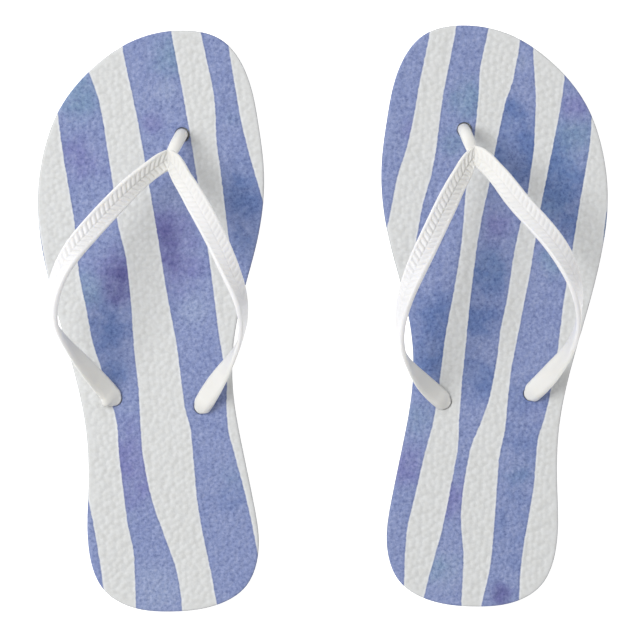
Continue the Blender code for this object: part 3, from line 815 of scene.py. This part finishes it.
def join(target, other):
    """Join the other solid to the target for good."""
    modifier = target.modifiers.new("join", "BOOLEAN")
    modifier.operation = "UNION"
    modifier.solver = "MANIFOLD"
    modifier.object = other
    bpy.context.view_layer.update()
    evaluated = target.evaluated_get(bpy.context.evaluated_depsgraph_get())
    mesh = bpy.data.meshes.new_from_object(evaluated)
    mesh.materials.clear()
    target.modifiers.clear()
    target.data = mesh
    bpy.data.objects.remove(other)


def build_strap(side):
    arms = ARMS[side]
    detail = ARM_DETAILS[side]
    outer = arm_rings(arms["seam"], arms["outer"], OUTER_HOLE, 1.0, detail["outer"])
    inner = arm_rings(arms["seam"], arms["inner"], INNER_HOLE, -1.0, detail["inner"])
    solid = Solid()
    solid.tube(outer[:0:-1] + inner)
    made = solid.build(f"{side}_herringbone_strap", side)
    solid = Solid()
    solid.tube(post_rings(arms["seam"]))
    join(made, solid.build("post", side))
    finish_piece(made, side, "strap", PAINTS["strap"])


# ---- Materials ----

class Paint:
    """A material's nodes, added one at a time. Sizes are in millimetres on the piece."""

    def __init__(self, name, **uniform):
        self.material = bpy.data.materials.new(name)
        self.material.use_nodes = True
        self.tree = self.material.node_tree
        self.shader = self.tree.nodes["Principled BSDF"]
        for socket, value in uniform.items():
            self.shader.inputs[socket.replace("_", " ")].default_value = value
        self.spot = self.add("TexCoord").outputs["Object"]

    def add(self, kind, inputs=None, **settings):
        node = self.tree.nodes.new("ShaderNode" + kind)
        for key, value in settings.items():
            setattr(node, key, value)
        for key, value in (inputs or {}).items():
            if isinstance(value, bpy.types.NodeSocket):
                self.tree.links.new(value, node.inputs[key])
            else:
                node.inputs[key].default_value = value
        return node

    def moved(self, offset=(0.0, 0.0, 0.0), stretch=(1.0, 1.0, 1.0)):
        """The place on the piece, moved by metres and stretched."""
        node = self.add("Mapping", {"Vector": self.spot, "Location": offset, "Scale": stretch})
        return node.outputs["Vector"]

    def noise(self, size, detail, roughness, at=None):
        """Patches around 0.5. detail is the number of finer layers, roughness their strength."""
        node = self.add("TexNoise", {"Vector": at or self.spot, "Scale": 1.0 / (size * MM),
                                     "Detail": detail, "Roughness": roughness})
        return node.outputs["Fac"]

    def cells(self, size):
        """Distance from the middles of small cells."""
        node = self.add("TexVoronoi", {"Vector": self.spot, "Scale": 1.0 / (size * MM)})
        return node.outputs["Distance"]

    def span(self, value, low, high, to_low=0.0, to_high=1.0):
        """The value eased from to_low, where it is low, to to_high, where it is high."""
        node = self.add("MapRange", {"Value": value, "From Min": low, "From Max": high,
                                     "To Min": to_low, "To Max": to_high},
                        interpolation_type="SMOOTHSTEP")
        return node.outputs["Result"]

    def math(self, operation, first, second):
        return self.add("Math", {0: first, 1: second}, operation=operation).outputs["Value"]

    def mix(self, factor, first, second, kind="MIX"):
        def colour(value):
            return value if isinstance(value, bpy.types.NodeSocket) else (*value, 1.0)
        node = self.add("Mix", {0: factor, 6: colour(first), 7: colour(second)},
                        data_type="RGBA", blend_type=kind)
        return node.outputs[2]

    def patchy(self, shade, dull, clean):
        """A colour that is duller in patches."""
        return self.mix(self.span(shade, 0.35, 0.65), dull, clean)

    def gloss(self, size, detail, roughness, low, high, at=None):
        """Uneven roughness between two values."""
        return self.span(self.noise(size, detail, roughness, at), 0.3, 0.7, low, high)

    def height(self):
        """Metres over the ground."""
        return self.add("SeparateXYZ", {0: self.spot}).outputs["Z"]

    def tint(self, colour, tint):
        return self.mix(1.0, colour, tint, "MULTIPLY")

    def apart(self, value, place):
        return self.math("ABSOLUTE", self.math("SUBTRACT", value, place), 0.0)

    def attribute(self, name):
        return self.add("Attribute", attribute_name=name).outputs["Fac"]

    def bump(self, height, depth, strength, under=None):
        inputs = {"Height": height, "Distance": depth * MM, "Strength": strength}
        if under:
            inputs["Normal"] = under
        return self.add("Bump", inputs).outputs["Normal"]

    def done(self, **sockets):
        for socket, value in sockets.items():
            self.tree.links.new(value, self.shader.inputs[socket.replace("_", " ")])
        return self.material


def printed_paper(side):
    """Off-white foam sheet with wavy watercolour stripes printed on it; its navy spots are partly
    painted shadow.
    """
    paint = Paint(f"{side}_watercolour_print", IOR=1.45)
    shift = PRINT_SHIFTS[side]
    at = paint.moved((shift, shift * 1.7, 0.0))
    waver = paint.math("SUBTRACT", paint.noise(WOBBLE_SIZE, 2.0, 0.6, at), 0.5)
    wobble = paint.math("MULTIPLY", waver, WOBBLE)
    depth = paint.math("ADD", paint.attribute("stripe"), wobble)
    drop = paint.attribute("drop")
    on_top = paint.math("SUBTRACT", 1.0, paint.span(drop, *TOP_EDGE))
    ink = paint.math("MULTIPLY", paint.span(depth, -INK_BLUR, INK_BLUR), on_top)

    cloud = paint.noise(CLOUD_SIZE, 4.0, 0.6, at)
    ragged = paint.math("MULTIPLY", paint.math("SUBTRACT", cloud, 0.5), 0.9)
    colour = BLUE
    # Each wash is print, except that the navy one is partly painted shadow beside the strap
    for kind, shade in WASH_COLOURS.items():
        strength = paint.math("ADD", paint.attribute(kind), ragged)
        colour = paint.mix(paint.span(strength, 0.12, 1.05, 0.0, 0.86), colour, shade)
    colour = paint.mix(paint.span(cloud, 0.60, 0.40, 0.0, 0.22), colour, CLOUD_BLUE)

    fleck = paint.noise(FLECK_SIZE, 4.0, 0.68, at)
    light = paint.tint(colour, LIGHT_FLECK)
    dark = paint.tint(colour, DARK_FLECK)
    colour = paint.mix(paint.span(fleck, 0.50, 0.32), colour, light)
    colour = paint.mix(paint.span(fleck, 0.47, 0.72, 0.0, 0.85), colour, dark)
    line = paint.span(paint.apart(depth, LINE_DEPTH), 0.0, LINE_REACH, 0.28, 0.0)
    colour = paint.mix(line, colour, dark)

    mottle = paint.noise(MOTTLE_SIZE, 3.0, 0.6, at)
    paper = paint.mix(paint.span(mottle, 0.34, 0.62), DULL_PAPER, PAPER)
    resist = paint.span(paint.apart(depth, RESIST_DEPTH), 0.1, 0.5, 0.45, 0.0)
    paper = paint.mix(resist, paper, RESIST_PAPER)
    base = paint.mix(ink, paper, colour)
    shaded = paint.tint(base, EDGE_SHADE)
    base = paint.mix(paint.span(drop, *SHADED_EDGE), base, shaded)

    rough = paint.gloss(0.9, 3.0, 0.6, 0.62, 0.80, at)
    skin = paint.bump(paint.noise(0.45, 3.0, 0.6, at), 0.07, 0.6)
    dents = paint.bump(paint.noise(1.3, 2.0, 0.5, at), 0.10, 0.6, skin)
    return paint.done(Base_Color=base, Roughness=rough, Normal=dents)


def strap_rubber():
    """Soft white rubber: slightly uneven gloss, faint mould texture, handling marks, painted warm
    shade.
    """
    paint = Paint("white_strap_rubber", IOR=1.5, Subsurface_Weight=0.4,
                  Subsurface_Radius=(0.9, 0.85, 0.75), Subsurface_Scale=0.002)
    shade = paint.noise(14.0, 3.0, 0.5)
    base = paint.patchy(shade, DULL_STRAP, STRAP_WHITE)
    dust = paint.span(paint.noise(2.4, 4.0, 0.65), 0.60, 0.78, 0.0, 0.30)
    base = paint.mix(dust, base, STRAP_DUST)
    # Painted warm shade, strongest low over the sole
    painted_warm_shade = paint.tint(base, PAINTED_SHADE_WARMTH)
    base = paint.mix(paint.span(paint.height(), *PAINTED_SHADE_HEIGHTS), base, painted_warm_shade)
    rough = paint.gloss(5.0, 4.0, 0.6, 0.36, 0.50)
    skin = paint.bump(paint.noise(0.35, 2.0, 0.5), 0.02, 0.5)
    return paint.done(Base_Color=base, Roughness=rough, Normal=skin)


def foam():
    """Dense white foam with fine closed cells and faint saw lines along its side."""
    paint = Paint("white_foam", IOR=1.4)
    shade = paint.noise(22.0, 3.0, 0.55)
    base = paint.patchy(shade, DULL_FOAM, FOAM_WHITE)
    pores = paint.cells(0.55)
    base = paint.mix(paint.span(pores, 0.22, 0.05, 0.0, 0.35), base, FOAM_PORE)
    lines = paint.noise(0.5, 2.0, 0.5, paint.moved(stretch=(0.04, 0.04, 1.0)))
    skin = paint.bump(pores, 0.06, 0.6)
    cut = paint.bump(lines, 0.08, 0.6, skin)
    rough = paint.span(shade, 0.3, 0.7, 0.72, 0.86)
    return paint.done(Base_Color=base, Roughness=rough, Normal=cut)


def outsole_rubber():
    """White rubber, a little dulled where it stands on the ground."""
    paint = Paint("white_outsole_rubber", IOR=1.5)
    shade = paint.noise(12.0, 4.0, 0.6)
    base = paint.patchy(shade, DULL_OUTSOLE, OUTSOLE_WHITE)
    dirt = paint.span(paint.noise(3.0, 4.0, 0.7), 0.40, 0.70, 0.0, 0.6)
    ground = paint.math("MULTIPLY", paint.span(paint.height(), *DIRT_HEIGHTS), dirt)
    base = paint.mix(ground, base, GROUND_DIRT)
    rough = paint.gloss(2.0, 4.0, 0.6, 0.50, 0.68)
    skin = paint.bump(paint.noise(0.5, 3.0, 0.6), 0.05, 0.6)
    return paint.done(Base_Color=base, Roughness=rough, Normal=skin)


def button_rubber():
    """Harder white rubber with patchy tone, scuffs, uneven gloss and a fine noise grain."""
    paint = Paint("white_button_rubber", IOR=1.5)
    shade = paint.noise(4.0, 3.0, 0.55)
    base = paint.patchy(shade, DULL_BUTTON, BUTTON_WHITE)
    scuff = paint.span(paint.noise(1.2, 5.0, 0.7), 0.58, 0.75, 0.0, 0.4)
    base = paint.mix(scuff, base, BUTTON_SCUFF)
    rough = paint.gloss(1.5, 3.0, 0.6, 0.38, 0.55)
    skin = paint.bump(paint.noise(0.3, 2.0, 0.5), 0.02, 0.6)
    return paint.done(Base_Color=base, Roughness=rough, Normal=skin)


def floor_paint():
    """Plain, pale and matt, with a little light of its own."""
    paint = Paint("pale_floor", Roughness=0.9, Emission_Color=(1.0, 1.0, 1.0, 1.0),
                  Emission_Strength=FLOOR_GLOW)
    shade = paint.noise(300.0, 2.0, 0.5)
    base = paint.mix(shade, DULL_FLOOR, FLOOR_WHITE)
    return paint.done(Base_Color=base)


# ---- Floor, light and camera ----

def build_floor():
    """A wide level sheet."""
    line = np.linspace(-FLOOR_HALF, FLOOR_HALF, FLOOR_POINTS)
    x, y = (axis.ravel() for axis in np.meshgrid(line, line))
    z = np.full(len(x), FLOOR_LEVEL)
    mesh = bpy.data.meshes.new("floor")
    corner = np.arange(FLOOR_POINTS**2).reshape(FLOOR_POINTS, FLOOR_POINTS)
    faces = np.stack([corner[:-1, :-1], corner[:-1, 1:], corner[1:, 1:], corner[1:, :-1]], -1)
    mesh.from_pydata(np.column_stack([x, y, z]).tolist(), [], faces.reshape(-1, 4).tolist())
    mesh.materials.append(floor_paint())
    floor = bpy.data.objects.new("floor", mesh)
    bpy.context.scene.collection.objects.link(floor)


def area_light(name, spot, power, size):
    """A round light that faces the middle of the pair."""
    light = bpy.data.lights.new(name, "AREA")
    light.shape = "DISK"
    light.energy = power
    light.size = size
    made = bpy.data.objects.new(name, light)
    made.location = spot
    made.rotation_euler = (-Vector(spot)).to_track_quat("-Z", "Y").to_euler()
    bpy.context.scene.collection.objects.link(made)


def build_studio():
    scene = bpy.context.scene
    scene.view_settings.view_transform = "Standard"
    scene.view_settings.look = "None"
    world = scene.world or bpy.data.worlds.new("studio")
    scene.world = world
    world.use_nodes = True
    background = world.node_tree.nodes["Background"]
    background.inputs["Color"].default_value = (1.0, 1.0, 1.0, 1.0)
    background.inputs["Strength"].default_value = WORLD_LIGHT
    area_light("key", KEY_PLACE, KEY_POWER, KEY_SIZE)
    area_light("fill", FILL_PLACE, FILL_POWER, FILL_SIZE)
    camera = bpy.data.cameras.new("camera")
    camera.sensor_width = SENSOR
    camera.lens = SENSOR * CAMERA_DISTANCE / VIEW_WIDTH
    camera.clip_end = CAMERA_REACH
    made = bpy.data.objects.new("camera", camera)
    made.location = Vector((*VIEW_CENTRE, VIEW_LEVEL + CAMERA_DISTANCE)) * MM
    scene.collection.objects.link(made)
    scene.camera = made


PAINTS = {
    "left_print": printed_paper("left"),
    "right_print": printed_paper("right"),
    "foam": foam(),
    "outsole": outsole_rubber(),
    "button": button_rubber(),
    "strap": strap_rubber(),
}
for side in SIDES:
    build_footbed(side)
    build_midsole(side)
    build_outsole(side)
    build_strap(side)
    for name, centre in zip(("toe", "outer", "inner"), HOLES):
        build_button(side, name, centre)
build_floor()
build_studio()
bpy.context.view_layer.update()
